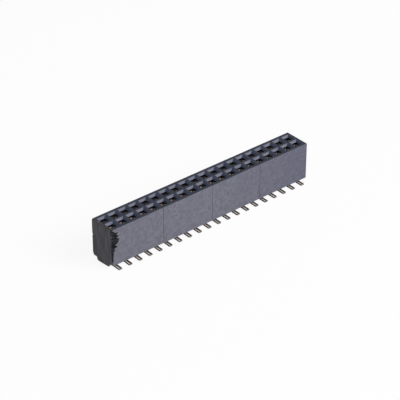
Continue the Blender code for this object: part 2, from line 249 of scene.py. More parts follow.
def worn_edges(tree, radius, rub):
    """A mask for rubbed edges: where a rounded normal leans from the true one, times the rubbing."""
    rounded = add(tree, "ShaderNodeBevel", {"Radius": radius}, samples=BEVEL_SAMPLES)
    true = add(tree, "ShaderNodeNewGeometry", output="Normal")
    lean = add(tree, "ShaderNodeVectorMath", {0: rounded, 1: true}, "Value", operation="DOT_PRODUCT")
    edges = add(tree, "ShaderNodeMapRange", {"Value": lean, "From Min": FLAT_LEAN, "From Max": EDGE_LEAN})
    return add(tree, "ShaderNodeMath", {0: edges, 1: rub}, operation="MULTIPLY")


def layered(tree, base, *layers):
    """Lays tints over a base in turn, each where its mask is 1. A colour is hex or an output."""
    for mask, tint in layers:
        below, above = (colour(c) if isinstance(c, str) else c for c in (base, tint))
        base = add(tree, "ShaderNodeMix", {0: mask, 6: below, 7: above}, 2, data_type="RGBA")
    return base


def cover(tree, shader, place, size, depth, detail=3.0, **outputs):
    """Links outputs to the shader's sockets, and a relief of noise of this size and real depth."""
    height = add(tree, "ShaderNodeTexNoise", {"Vector": place, "Scale": 1.0 / size, "Detail": detail})
    outputs["Normal"] = add(tree, "ShaderNodeBump", {"Height": height, "Distance": depth})
    for socket, value in outputs.items():
        tree.links.new(value, shader.inputs[socket.replace("_", " ")])


print("the sRGB grey #808080 is", round(colour("#808080")[0], 3), "in linear light")

# %% [markdown]
# ## The moulded plastic
# The housing is liquid crystal polymer, a stiff plastic that flows into walls a few tenths of a
# millimetre thick. One pigment gives it one colour. The walls come off a spark-eroded plate, which
# leaves them matt, and the funnels and the top come off ground steel, which leaves them smoother.
# The top, the lead-ins' sides along the strip and the throats are painted darker than the walls, as
# shade. Masks could part them within one material, but each surface has its own.

# %% Moulded plastic
PLASTIC_IOR = 1.55  # typical of such polymers
SCUFF = 0.12 * MM
# Height where the throats' black painted shade starts to fade into painted lighter grey, and the run of
# that fade
PAINTED_SHADE_FADES_BELOW = CAVITY_TOP - 0.10 * MM
PAINTED_SHADE_FADE_RUN = 0.16 * MM


def moulded_walls():
    """Matt outer walls, with the clouds, blotches and upright drag lines that the mould leaves.

    Spark erosion leaves pits of about 0.02 mm, too fine to show, so the patches are drawn coarser.
    The wall also turns slowly darker and more violet towards the moulded end.
    """
    made, tree, shader = new_material("moulded LCP, spark eroded walls", IOR=PLASTIC_IOR)
    place = add(tree, "ShaderNodeTexCoord", output="Object")
    upright = add(tree, "ShaderNodeMapping", {"Vector": place, "Scale": (1.0, 1.0, 0.3)})
    clouds = patches(tree, place, 0.30 * MM, 0.30, 0.70, detail=4.0)
    rub = patches(tree, place, 0.5 * MM, least=0.15, most=0.7)
    base = layered(
        tree,
        "#504f5b",
        (clouds, "#6c6b7b"),
        (patches(tree, place, 1.8 * MM, 0.40, 0.60, most=0.6, detail=1.0), "#5b5e69"),
        (ramp(tree, place, "X", 0.0, MOULDED_END_X, most=0.85), "#49485e"),
        (patches(tree, place, 0.55 * MM, 0.42, 0.62, most=0.35, detail=2.0), "#43434f"),
        (patches(tree, upright, 0.14 * MM, 0.50, 0.72, most=0.4, detail=4.0), "#3a3b46"),
        (patches(tree, place, 0.20 * MM, 0.50, 0.72, most=0.28), "#7a7a88"),
        (worn_edges(tree, 0.05 * MM, rub), "#8b8c99"),
    )
    roughness = add(tree, "ShaderNodeMapRange", {"Value": clouds, "To Min": 0.52, "To Max": 0.62})
    cover(tree, shader, place, 0.05 * MM, 0.006 * MM, 6.0, Base_Color=base, Roughness=roughness)
    return made


def moulded_top():
    """The mating face: its colour is painted darker than the walls' as shade, and pins that rub its edges
    leave them paler.
    """
    made, tree, shader = new_material("moulded LCP, top face in painted shade", IOR=PLASTIC_IOR)
    place = add(tree, "ShaderNodeTexCoord", output="Object")
    clouds = patches(tree, place, 0.8 * MM)
    rub = patches(tree, place, 0.25 * MM, low=0.45, most=0.5)
    # The dark blue-grey base is painted shade: the top is the walls' plastic, painted darker
    base = layered(tree, "#2d3441", (clouds, "#333747"), (worn_edges(tree, 0.03 * MM, rub), "#5d6370"))
    roughness = add(tree, "ShaderNodeMapRange", {"Value": clouds, "To Min": 0.50, "To Max": 0.60})
    cover(tree, shader, place, 0.04 * MM, 0.003 * MM, 5.0, Base_Color=base, Roughness=roughness)
    return made


def moulded_funnels(name, dull, pale, scuffed):
    """Lead-ins, off ground core pins: smoother than the walls, and scuffed where pins slid in. The copy
    along the strip has darker colours, which are painted shade.
    """
    made, tree, shader = new_material(name, IOR=PLASTIC_IOR)
    place = add(tree, "ShaderNodeTexCoord", output="Object")
    scuffs = patches(tree, place, SCUFF, 0.5, 0.8, most=0.3)
    base = layered(tree, dull, (patches(tree, place, 0.7 * MM), pale), (scuffs, scuffed))
    roughness = patches(tree, place, SCUFF, 0.3, 0.7, least=0.50, most=0.60)
    cover(tree, shader, place, SCUFF, 0.0015 * MM, Base_Color=base, Roughness=roughness)
    return made


def moulded_cavities():
    """Throats and cavities: painted shade, almost black below the funnels, fading to a painted lighter
    grey further down, where light reaches in. The contact is pushed in from below.
    """
    values = {"IOR": PLASTIC_IOR, "Roughness": 0.8, "Specular IOR Level": 0.1}
    made, tree, shader = new_material("moulded LCP, throats and cavities in painted shade", **values)
    place = add(tree, "ShaderNodeTexCoord", output="Object")
    painted_light_deeper = ramp(tree, place, "Z", PAINTED_SHADE_FADES_BELOW, PAINTED_SHADE_FADES_BELOW - PAINTED_SHADE_FADE_RUN)
    # Black at the throat is painted shade; the grey deeper down is painted light
    base = layered(tree, "#040406", (patches(tree, place, 0.2 * MM), "#0a0a0d"), (painted_light_deeper, "#5b5552"))
    cover(tree, shader, place, 0.05 * MM, 0.004 * MM, Base_Color=base)
    return made


print("painted shade fades below", round(PAINTED_SHADE_FADES_BELOW / MM, 2), "mm above the board")

# %% [markdown]
# ## Cut and broken plastic
# The left end was sawn from a longer strip. The saw smears the plastic into upright streaks and
# takes the mould's skin off, so it shows the polymer's own dark grey. Where the wall tore out, the
# break is painted almost black between its fibres, as shade in its crevices. Round noise would look
# like stone, so it is drawn out along the saw's stroke and along the fibres.

# %% Cut and broken plastic
STREAK = 0.22 * MM
FIBRE = 0.09 * MM


def sawn_plastic():
    """Saw-cut face: upright smeared streaks, with dust in some of them."""
    values = {"IOR": PLASTIC_IOR, "Roughness": 0.75, "Specular IOR Level": 0.3}
    made, tree, shader = new_material("sawn LCP", **values)
    place = add(tree, "ShaderNodeTexCoord", output="Object")
    upright = add(tree, "ShaderNodeMapping", {"Vector": place, "Scale": (1.0, 1.0, 0.12)})
    smear = patches(tree, upright, STREAK, detail=5.0)
    dust = patches(tree, place, 0.10 * MM, 0.68, 0.76, most=0.5)
    base = layered(tree, "#3b3b3e", (smear, "#504f56"), (dust, "#7c7d80"))
    cover(tree, shader, upright, STREAK, 0.02 * MM, 5.0, Base_Color=base)
    return made


def torn_plastic():
    """Broken face: coarse fibres along the bar, with painted shade, nearly black, between them."""
    values = {"IOR": PLASTIC_IOR, "Roughness": 0.85, "Specular IOR Level": 0.15}
    made, tree, shader = new_material("torn LCP with painted shade", **values)
    place = add(tree, "ShaderNodeTexCoord", output="Object")
    along = add(tree, "ShaderNodeMapping", {"Vector": place, "Scale": (0.25, 1.0, 1.0)})
    # The near-black base between the fibres is painted shade
    base = layered(tree, "#08090c", (patches(tree, along, FIBRE, 0.46, 0.62, detail=6.0), "#4c4d57"))
    cover(tree, shader, along, FIBRE, 0.03 * MM, 6.0, Base_Color=base)
    return made


WALLS, MOULDED_TOP, FUNNELS_ACROSS, FUNNELS_ALONG_PAINTED_SHADE, CAVITIES, SAWN, TORN = range(7)
plastics = (
    moulded_walls(),
    moulded_top(),
    moulded_funnels("moulded LCP, lead-ins across the strip", "#4c4f64", "#55566b", "#626376"),
    # The lead-ins along the strip take darker colours than those across it: painted shade
    moulded_funnels("moulded LCP, lead-ins along the strip in painted shade", "#414c61", "#494e65", "#5a5f74"),
    moulded_cavities(),
    sawn_plastic(),
    torn_plastic(),
)
print("plastic finishes:", [made.name for made in plastics])

# %% [markdown]
# ## Helpers for meshes
# The shapes are edited as bmesh data, and not with the editor's commands, which would depend on
# what is selected. Seven helpers are enough: two turn a bmesh into an object and its modifiers into
# mesh, two read an operator's results and an edge, one rounds edges, and two extrude faces.

# %% Helpers for meshes
VERT, EDGE, FACE = bmesh.types.BMVert, bmesh.types.BMEdge, bmesh.types.BMFace


def shown(bm, name, materials):
    """Turns a bmesh into a linked object, with its faces pointing outwards."""
    bmesh.ops.recalc_face_normals(bm, faces=bm.faces)
    mesh = bpy.data.meshes.new(name)
    bm.to_mesh(mesh)
    bm.free()
    for made in materials:
        mesh.materials.append(made)
    piece = bpy.data.objects.new(name, mesh)
    bpy.context.scene.collection.objects.link(piece)
    return piece


def settle(piece):
    """Replaces the piece's modifiers with the mesh that they make."""
    depsgraph = bpy.context.evaluated_depsgraph_get()
    mesh = bpy.data.meshes.new_from_object(piece.evaluated_get(depsgraph))
    piece.modifiers.clear()
    piece.data = mesh


def new_parts(made, kind):
    """The vertices, edges or faces among what an operator made."""
    return [part for part in made["geom"] if isinstance(part, kind)]


def middle_of(edge):
    """The point halfway along an edge."""
    return (edge.verts[0].co + edge.verts[1].co) / 2


def round_off(bm, edges, radius, steps, finish=-1):
    """Rounds edges. Their new faces take a finish or, at -1, the one of the faces beside them."""
    bmesh.ops.bevel(
        bm, geom=edges, offset=radius, affect="EDGES", segments=steps, profile=0.5, material=finish
    )


def extruded(bm, face, is_base):
    """Extrudes a face and returns the new face and its vertices. Only a base face stays behind."""
    made = bmesh.ops.extrude_face_region(bm, geom=[face], use_keep_orig=True)
    if not is_base:
        bm.faces.remove(face)
    return new_parts(made, FACE)[0], new_parts(made, VERT)


def prism(bm, outline, offset):
    """A closed prism: the outline's points as one face, extruded. Returns the far face."""
    base = bm.faces.new([bm.verts.new(point) for point in outline])
    far, verts = extruded(bm, base, is_base=True)
    bmesh.ops.translate(bm, vec=offset, verts=verts)
    return far


helpers = (shown, settle, new_parts, middle_of, round_off, extruded, prism)
print("mesh helpers:", ", ".join(helper.__name__ for helper in helpers))

# %% [markdown]
# ## The housing's blank
# The moulding is one bar with the same section from end to end: two outer walls and, between the
# rows of feet, a lower keel. It could be carved out of a box, but an outline that is extruded says
# the section once. The bevel then rounds what the mould rounds: the long edges and the clean end.

# %% Housing blank
EDGE_STEPS = 4
FACES_UP = 0.9  # a face whose normal rises more than this looks up


def is_moulded_edge(edge):
    """True for the walls' long edges and the outline of the moulded end, above the keel."""
    middle = middle_of(edge)
    on_wall = abs(abs(middle.y) - HALF_WIDTH) < EDGE_RADIUS
    on_top_of_end = middle.z > WALL_FOOT + EDGE_RADIUS and middle.x > LAST_X
    return on_wall or on_top_of_end


def housing_blank():
    """The extruded section with its moulded edges rounded, longer than the strip at the sawn end."""
    keel_foot = ROW_SPACING / 2 + KEEL_PAST_ROW
    half = (
        (HALF_WIDTH, TOP),
        (HALF_WIDTH, WALL_FOOT),
        (keel_foot + KEEL_DRAFT, WALL_FOOT),
        (keel_foot, KEEL_FOOT),
    )
    section = [(-y, z) for y, z in half] + [(y, z) for y, z in reversed(half)]
    bm = bmesh.new()
    length = MOULDED_END_X - SAWN_END_X + OVERRUN
    prism(bm, [(MOULDED_END_X, y, z) for y, z in section], (-length, 0.0, 0.0))
    bmesh.ops.recalc_face_normals(bm, faces=bm.faces)
    for face in bm.faces:
        face.material_index = MOULDED_TOP if face.normal.z > FACES_UP else WALLS
    round_off(bm, [e for e in bm.edges if is_moulded_edge(e)], EDGE_RADIUS, EDGE_STEPS, WALLS)
    return shown(bm, "moulded_housing", plastics)


housing = housing_blank()
print("blank:", len(housing.data.polygons), "faces")

# %% [markdown]
# ## Cutting with solids
# A core pin, a saw and a break all take plastic away, so each of them is a closed solid that one
# function subtracts. Moving the blank's own points could make a dent but no hole. An exact boolean
# keeps the corners of the cut sharp, and the new faces take over the cutter's finish.

# %% Cutting tools


def carve(piece, bm, finish=None, is_tangled=False):
    """Cuts the bmesh's solid out of the piece. The new faces take one of the piece's finishes."""
    if finish is not None:
        for face in bm.faces:
            face.material_index = finish
    tool = shown(bm, "cutting tool", plastics)
    modifier = piece.modifiers.new("cut", "BOOLEAN")
    modifier.operation = "DIFFERENCE"
    modifier.solver = "EXACT"
    modifier.use_self = is_tangled
    modifier.material_mode = "INDEX"
    modifier.object = tool
    settle(piece)
    bpy.data.objects.remove(tool)
    print("cut:", len(piece.data.polygons), "faces")


# %% [markdown]
# ## Cavities and funnels
# Forty core pins leave forty cavities, each with a lip, a throat and a square funnel that leads a
# pin in. One core pin is lofted through square sections, and its copies are cut out together. The
# rim of each funnel is rounded by the core pin itself: its last sections follow an arc that runs
# from the funnel's slope into the flat top.

# %% Funnels
RIM_RADIUS = 0.05 * MM
RIM_STEPS = 4
RIM_END = math.radians(12)
CORE_CORNER = 0.035 * MM
CORE_CORNER_STEPS = 2
SAME_CORNER = 0.9  # cosine between the directions of an upright edge's two ends, seen from above


def is_upright(edge):
    """True where both ends of a core pin's edge stand at the same corner."""
    lower, upper = (vert.co.xy.normalized() for vert in edge.verts)
    return lower.dot(upper) > SAME_CORNER


def core_sections():
    """Half size and height of the core pin's sections, from below the housing to above it."""
    slope = math.atan2(FUNNEL_DEPTH, (FUNNEL_MOUTH - THROAT) / 2)
    arc_middle = FUNNEL_MOUTH / 2 + RIM_RADIUS * math.tan(slope / 2)
    half_length = CONTACT_LENGTH / 2 + CONTACT_CLEARANCE
    half_depth = CONTACT_DEPTH / 2 + CONTACT_CLEARANCE
    yield half_length, half_depth, -OVERRUN
    yield half_length, half_depth, CAVITY_TOP
    yield THROAT / 2, THROAT / 2, LIP_BOTTOM
    yield THROAT / 2, THROAT / 2, THROAT_TOP
    for step in range(RIM_STEPS + 1):
        lean = slope + (RIM_END - slope) * step / RIM_STEPS
        half = arc_middle - RIM_RADIUS * math.sin(lean)
        yield half, half, TOP - RIM_RADIUS * (1 - math.cos(lean))
    yield half, half, TOP + OVERRUN


def core_pin():
    """One core pin at the origin, with its four upright corners rounded."""
    bm = bmesh.new()
    sections = list(core_sections())
    half_length, half_depth, height = sections[0]
    made = bmesh.ops.create_grid(bm, x_segments=1, y_segments=1, size=1.0)
    bmesh.ops.scale(bm, vec=(half_length, half_depth, 1.0), verts=made["verts"])
    bmesh.ops.translate(bm, vec=(0.0, 0.0, height), verts=made["verts"])
    base = face = made["verts"][0].link_faces[0]
    for next_length, next_depth, next_height in sections[1:]:
        face, verts = extruded(bm, face, is_base=face is base)
        bmesh.ops.scale(bm, vec=(next_length / half_length, next_depth / half_depth, 1.0), verts=verts)
        bmesh.ops.translate(bm, vec=(0.0, 0.0, next_height - height), verts=verts)
        half_length, half_depth, height = next_length, next_depth, next_height
    round_off(bm, [e for e in bm.edges if is_upright(e)], CORE_CORNER, CORE_CORNER_STEPS)
    bmesh.ops.recalc_face_normals(bm, faces=bm.faces)
    for core_face in bm.faces:
        is_across = abs(core_face.normal.y) >= abs(core_face.normal.x)
        # Sides along the strip take the lead-in copy painted darker as shade
        core_face.material_index = FUNNELS_ACROSS if is_across else FUNNELS_ALONG_PAINTED_SHADE
        # Faces below the throat take the finish painted black as shade
        if core_face.calc_center_median().z < THROAT_TOP:
            core_face.material_index = CAVITIES
    mesh = bpy.data.meshes.new("core pin")
    bm.to_mesh(mesh)
    bm.free()
    return mesh


def all_cores():
    """A core pin at every position of both rows."""
    pin = core_pin()
    bm = bmesh.new()
    for index in range(POSITIONS):
        for side in (-1, 1):
            before = len(bm.verts)
            bm.from_mesh(pin)
            bm.verts.ensure_lookup_table()
            place = (FIRST_X + index * PITCH, side * ROW_SPACING / 2, 0.0)
            bmesh.ops.translate(bm, vec=place, verts=bm.verts[before:])
    return bm


carve(housing, all_cores())

# %% [markdown]
# ## Seams of the mould
# The long walls show a fine upright line after every fifth position, where one insert of the mould
# meets the next. A shallow V groove keeps that line as real geometry, which a bump would lose at
# the wall's outline.

# %% Seams
SEAM_EVERY = 5
SEAM_WIDTH = 0.09 * MM
SEAM_DEPTH = 0.055 * MM


def seams():
    """V grooves down both long walls."""
    bm = bmesh.new()
    for index in range(SEAM_EVERY, POSITIONS, SEAM_EVERY):
        x = FIRST_X + (index - 0.5) * PITCH
        for side in (-1, 1):
            face = side * HALF_WIDTH
            outline = (
                (x - SEAM_WIDTH, face + side * SEAM_DEPTH, WALL_FOOT - OVERRUN),
                (x + SEAM_WIDTH, face + side * SEAM_DEPTH, WALL_FOOT - OVERRUN),
                (x, face - side * SEAM_DEPTH, WALL_FOOT - OVERRUN),
            )
            prism(bm, outline, (0.0, 0.0, TOP - WALL_FOOT + 2 * OVERRUN))
    return bm


carve(housing, seams(), WALLS)

# %% [markdown]
# ## The sawn end
# A saw leaves a skew, wavy plane whose top and back edges wear round. One flat cut with a bump on
# it would keep a straight outline. So the cut is a fine grid whose points are pushed by three sizes
# of noise, and everything beyond it is taken away. Blender's noise gives the same value at the same
# place, so the cut is the same in every run.

# %% Saw cut
SAWN_MARGIN_BACK = 0.86 * MM
SAWN_MARGIN_FRONT = 0.622 * MM
SAWN_RIM = 0.17 * MM
SAWN_SIDE = 0.06 * MM
SAWN_WAVE = 0.02 * MM
SAWN_STREAK = (0.45 * MM, 1.60 * MM)
SAWN_GRAIN = (0.25 * MM, 0.35 * MM)
TOOTH_MARK = (0.05 * MM, 0.60 * MM)
TOOTH_DEPTH = 0.006 * MM
LUMP_SHARE = 0.5  # height of the lumps, as a share of the streaks'
NOISE_LEVELS = (0.3, 7.1, 3.7)  # third coordinates that keep the three noises apart
SAWN_COLUMNS = 56
SAWN_ROWS = 48
SAWN_OVERHANG = 0.1 * OVERRUN


def worn(distance, radius):
    """How far an edge worn to this radius falls back at a distance inside its corner."""
    inside = radius - max(0.0, min(distance, radius))
    return radius - math.sqrt(radius**2 - inside**2)


def sawn_x(y, z):
    """The cut's surface: skew, wavy, finely streaked and worn round at its top and back edges."""
    share = (y + HALF_WIDTH) / (2 * HALF_WIDTH)
    margin = SAWN_MARGIN_FRONT + (SAWN_MARGIN_BACK - SAWN_MARGIN_FRONT) * share
    streak, lumps, teeth = (
        noise.noise(Vector((y / width, z / height, level)))
        for (width, height), level in zip((SAWN_STREAK, SAWN_GRAIN, TOOTH_MARK), NOISE_LEVELS)
    )
    waves = abs(SAWN_WAVE * (streak + LUMP_SHARE * lumps)) + TOOTH_DEPTH * abs(teeth)
    rounding = worn(TOP - z, SAWN_RIM) + worn(HALF_WIDTH - y, SAWN_SIDE)
    return max(SAWN_END_X, FIRST_X - margin + waves + rounding)


def saw_cut():
    """Everything beyond the cut, as one block whose right side is the cut's surface."""
    bm = bmesh.new()
    made = bmesh.ops.create_grid(bm, x_segments=SAWN_COLUMNS, y_segments=SAWN_ROWS, size=1.0)
    for vert in made["verts"]:
        # Sine spacing sets the grid's lines closer together near the worn edges
        y = (HALF_WIDTH + SAWN_OVERHANG) * math.sin(vert.co.x * math.pi / 2)
        z = (TOP / 2 + SAWN_OVERHANG) * math.sin(vert.co.y * math.pi / 2) + TOP / 2
        vert.co = (sawn_x(y, z), y, z)
    made = bmesh.ops.extrude_face_region(bm, geom=list(bm.faces), use_keep_orig=True)
    for vert in new_parts(made, VERT):
        vert.co.x = SAWN_END_X - 2 * OVERRUN
    return bm


carve(housing, saw_cut(), SAWN)

# %% [markdown]
# ## Breaks beside the cut
# The saw also broke the thin plastic round it: a V beside each first funnel, a nick in the back
# edge and a chip off the lower back corner. Plain prisms would cut these, but a break has no
# straight faces, so each cutter is divided and its points are shaken by noise before it cuts.

# %% Notches, nick and chip
NOTCHES = (  # across the row, depth, half width
    (ROW_SPACING / 2 - 0.06 * MM, 0.20 * MM, 0.17 * MM),
    (-ROW_SPACING / 2 + 0.10 * MM, 0.42 * MM, 0.13 * MM),
)
NICK_DROP = 1.85 * MM
NICK_DEPTH = 0.09 * MM
NICK_HALF_HEIGHT = 0.16 * MM
NICK_RUN = 0.40 * MM
CHIP_HEIGHT = 0.42 * MM
CHIP_WIDTH = 0.17 * MM
CHIP_RUN = 1.30 * MM
BREAK_GRAIN = 0.12 * MM
BREAK_SHAKE = 0.025 * MM
BREAK_CUTS = 5


def shaken(bm):
    """Divides the cutter and moves its points by noise, which leaves no face straight."""
    bmesh.ops.subdivide_edges(bm, edges=bm.edges, cuts=BREAK_CUTS, use_grid_fill=True)
    bmesh.ops.triangulate(bm, faces=bm.faces)
    for vert in bm.verts:
        vert.co += noise.noise_vector(vert.co / BREAK_GRAIN) * BREAK_SHAKE
    return bm


def notches():
    """The thin wall beside each first lead-in, broken through in a V."""
    bm = bmesh.new()
    for y, depth, half_width in NOTCHES:
        rise = OVERRUN / depth * half_width
        outline = (
            (SAWN_END_X - OVERRUN, y, TOP - depth),
            (SAWN_END_X - OVERRUN, y + half_width + rise, TOP + OVERRUN),
            (SAWN_END_X - OVERRUN, y - half_width - rise, TOP + OVERRUN),
        )
        prism(bm, outline, (FIRST_X - SAWN_END_X + OVERRUN, 0.0, 0.0))
    return shaken(bm)


def nick():
    """A small V in the cut's back edge."""
    bm = bmesh.new()
    rise = OVERRUN / NICK_DEPTH * NICK_HALF_HEIGHT
    middle = TOP - NICK_DROP
    outline = (
        (SAWN_END_X + NICK_DEPTH, HALF_WIDTH - NICK_RUN, middle),
        (SAWN_END_X - OVERRUN, HALF_WIDTH - NICK_RUN, middle + NICK_HALF_HEIGHT + rise),
        (SAWN_END_X - OVERRUN, HALF_WIDTH - NICK_RUN, middle - NICK_HALF_HEIGHT - rise),
    )
    prism(bm, outline, (0.0, NICK_RUN + OVERRUN, 0.0))
    return shaken(bm)


def corner_chip():
    """A wedge off the lower back corner, which runs out along the strip."""
    bm = bmesh.new()
    rise = CHIP_HEIGHT / CHIP_WIDTH * OVERRUN
    outline = (
        (SAWN_END_X, HALF_WIDTH - CHIP_WIDTH - OVERRUN, WALL_FOOT - rise),
        (SAWN_END_X, HALF_WIDTH + OVERRUN, WALL_FOOT + CHIP_HEIGHT + rise),
        (SAWN_END_X, HALF_WIDTH + OVERRUN, WALL_FOOT - rise),
    )
    far = prism(bm, outline, (CHIP_RUN, 0.0, 0.0))
    near = [v for v in bm.verts if v not in far.verts]
    run_out = Vector((0.0, CHIP_WIDTH / 2, -CHIP_HEIGHT / 2))
    bmesh.ops.translate(bm, vec=run_out, verts=far.verts)
    beyond = Vector((-OVERRUN, 0.0, 0.0)) - run_out * OVERRUN / CHIP_RUN
    bmesh.ops.translate(bm, vec=beyond, verts=near)
    return shaken(bm)


carve(housing, notches(), SAWN)
carve(housing, nick(), SAWN)
carve(housing, corner_chip(), TORN)

# %% [markdown]
# ## Torn front edge
# At the front corner the saw pulled a long flake out of the wall. Noise alone would give a tear of
# even teeth, so the teeth on the wall are given as an outline, read off the photograph, with finer
# shaken points between them. Copies of the outline, each deeper and narrower, make the hollow.

# %% Torn front edge
TEAR_OUTLINE = (  # reach along the front wall and depth below the top, in millimetres
    (0.00, 0.06),
    (0.22, 0.20),
    (0.32, 0.38),
    (0.76, 0.44),
    (0.48, 0.68),
    (0.82, 0.86),
    (0.54, 1.02),
    (0.66, 1.16),
    (0.82, 1.34),
    (0.75, 1.52),
    (0.56, 1.66),
    (0.34, 1.84),
    (0.44, 1.98),
    (0.70, 2.06),
    (0.30, 2.20),
    (0.22, 2.36),
    (0.28, 2.48),
    (0.12, 2.66),
    (0.08, 3.10),
    (0.06, 3.55),
    (0.00, 3.75),
)
TEAR_DEPTH = 0.16 * MM
TEAR_MIDDLE = 1.2 * MM
TEAR_HALF_HEIGHT = 1.3 * MM
TEAR_LEAST = 0.20 * MM
TEAR_LEVELS = ((0.0, 1.0), (0.35, 0.90), (0.7, 0.72), (1.0, 0.45))  # share of the depth, of the reach
SPLINTERS = 3  # points between two of the outline
SPLINTER_SHAKE = 0.06 * MM
SPLINTER_GRAIN = 0.09 * MM
tear_corner = Vector((FIRST_X - SAWN_MARGIN_FRONT, -HALF_WIDTH, TOP))


def splintered():
    """The outline's points with finer, shaken ones between them."""
    points = [Vector((reach * MM, 0.0, -down * MM)) for reach, down in TEAR_OUTLINE]
    for start, end in zip(points, points[1:]):
        for step in range(SPLINTERS):
            point = start.lerp(end, step / SPLINTERS)
            if step:
                point.x += noise.noise(point / SPLINTER_GRAIN) * SPLINTER_SHAKE
            yield point
    yield points[-1]


def tear():
    """The hollow down the front edge: deepest a quarter of the way down, and narrower inside."""
    bm = bmesh.new()
    outline = list(splintered())
    outside = [Vector((-OVERRUN, 0.0, outline[i].z)) for i in (-1, 0)]
    clear = Vector((0.0, -OVERRUN, 0.0))
    face = bm.faces.new([bm.verts.new(tear_corner + clear + point) for point in outside + outline])
    base = face
    for depth_share, reach_share in TEAR_LEVELS:
        face, verts = extruded(bm, face, is_base=face is base)
        for vert, point in zip(face.verts, outside + outline):
            reach = point.x * reach_share if point.x > 0 else point.x
            bell = math.exp(-(((-point.z - TEAR_MIDDLE) / TEAR_HALF_HEIGHT) ** 2))
            depth = (TEAR_LEAST + TEAR_DEPTH * bell) * depth_share
            vert.co = tear_corner + Vector((reach, depth, point.z))
            vert.co += noise.noise_vector(vert.co / SPLINTER_GRAIN) * SPLINTER_SHAKE * depth_share
    bmesh.ops.triangulate(bm, faces=bm.faces)
    return bm


carve(housing, tear(), TORN, is_tangled=True)

# %% [markdown]
# ## Needles of the tear
# The polymer's fibres lie along the bar, so the break runs out between them in needles. More points
# in the outline could draw them, but all of one depth. Each needle is a slim cone instead, whose
# axis lies in the wall's surface: the half inside the wall cuts a groove that narrows to a point.
# Their lengths follow the torn outline, changed by noise.

# %% Needles
NEEDLES = 12
NEEDLE_TOP = 0.30 * MM
NEEDLE_BOTTOM = 2.55 * MM
NEEDLE_INSET = 0.02 * MM
NEEDLE_WIDTH = (0.09 * MM, 0.17 * MM)
NEEDLE_LENGTH = (0.85, 0.5)  # shares of the outline's reach: the least, and what chance adds
NEEDLE_LEAN = math.radians(48)
NEEDLE_SPLAY = 0.15
NEEDLE_SIDES = 7
CHANCE_STEPS = (0.73, 5.1, 2.2)  # the steps that pick each needle's chances out of the noise


def torn_reach(down):
    """How far the torn outline reaches along the wall at a depth below the top."""
    for (reach, start), (next_reach, end) in zip(TEAR_OUTLINE, TEAR_OUTLINE[1:]):
        if start * MM <= down <= end * MM:
            share = (down / MM - start) / (end - start)
            return (reach + (next_reach - reach) * share) * MM
    return 0.0


def needles():
    """Slim cones out of the hollow, along the wall."""
    bm = bmesh.new()
    along_step, turn_step, level = CHANCE_STEPS
    for index in range(NEEDLES):
        down = NEEDLE_TOP + (NEEDLE_BOTTOM - NEEDLE_TOP) * index / (NEEDLES - 1)
        places = (Vector((index * along_step, turn * turn_step, level)) for turn in range(4))
        length_chance, width_chance, lean_chance, splay_chance = ((1 + noise.noise(p)) / 2 for p in places)
        start = tear_corner + Vector((NEEDLE_INSET, 0.0, -down))
        length = torn_reach(down) * (NEEDLE_LENGTH[0] + NEEDLE_LENGTH[1] * length_chance)
        width = NEEDLE_WIDTH[0] + (NEEDLE_WIDTH[1] - NEEDLE_WIDTH[0]) * width_chance
        lean = NEEDLE_LEAN * (2 * lean_chance - 1)
        along = Vector((math.cos(lean), NEEDLE_SPLAY * (splay_chance - 0.5), math.sin(lean)))
        turned = along.to_track_quat("Z", "Y").to_matrix().to_4x4()
        bmesh.ops.create_cone(
            bm,
            cap_ends=True,
            segments=NEEDLE_SIDES,
            radius1=width,
            radius2=0.0,
            depth=length,
            matrix=Matrix.Translation(start + along.normalized() * length / 2) @ turned,
        )
    return bm


carve(housing, needles(), TORN, is_tangled=True)

# %% [markdown]
# ## Slivers
# An exact boolean also keeps corners that lie a thousandth of a millimetre apart, and they leave
# slivers that three or four faces share. Remeshing would remove them and the sharp rims too, so
# only points closer than the real plastic could hold are joined. A point where just two edges meet
# lies on a straight line between two faces, and it goes too, because it would give them both the
# same thin triangle.

# %% Slivers
SLIVER = 0.002 * MM


def join_slivers(piece):
    """Joins points closer than a sliver, and dissolves collapsed faces and points on straight lines."""
    bm = bmesh.new()
    bm.from_mesh(piece.data)
    bmesh.ops.remove_doubles(bm, verts=bm.verts, dist=SLIVER)
    bmesh.ops.dissolve_degenerate(bm, edges=bm.edges, dist=SLIVER)
    bmesh.ops.dissolve_verts(bm, verts=[v for v in bm.verts if len(v.link_edges) == 2])
    print("open or crowded edges left:", sum(not edge.is_manifold for edge in bm.edges))
    bm.to_mesh(piece.data)
    bm.free()


join_slivers(housing)

# %% [markdown]
# ## Shading of the housing
# Large flat faces beside narrow rounded ones take a false gradient if all normals are averaged.
# Weighted normals let the large faces win, and only the rounded strips turn from one to the next.

# %% Finish the housing
SHARP_ANGLE = math.radians(32)


def smooth_by_area(piece):
    """Smooth shading that keeps corners crisp and flat faces flat."""
    piece.data.shade_smooth()
    piece.data.set_sharp_from_angle(angle=SHARP_ANGLE)
    modifier = piece.modifiers.new("weighted normals", "WEIGHTED_NORMAL")
    modifier.keep_sharp = True
    settle(piece)


smooth_by_area(housing)
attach(housing, "root")
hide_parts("housing")
print("housing:", len(housing.data.polygons), "faces")

# %% [markdown]
# ## Plated contacts
# Each contact is stamped from phosphor bronze strip and folded. Its foot is plated with tin, which
# solder wets, and the press cuts through that plating: the narrow edges are bare bronze that has
# gone brown. The upper end gets its gold after the cut, and stays clean where the pin rubs. Two
# materials that change with height say this with less than four separate ones would.

# %% Metals
TIN_BELOW = 0.9 * MM
GOLD_ABOVE = 1.5 * MM
# Where the painted highlight on each foot lies, how wide it is, and the run over which the painted dark
# band rises
PAINTED_HIGHLIGHT_SHIFT = 0.13 * MM
PAINTED_HIGHLIGHT_HALF_WIDTH = 0.055 * MM
PAINTED_DARK_BAND_RUN = 0.04 * MM
FOOT_TIP = 0.12 * MM


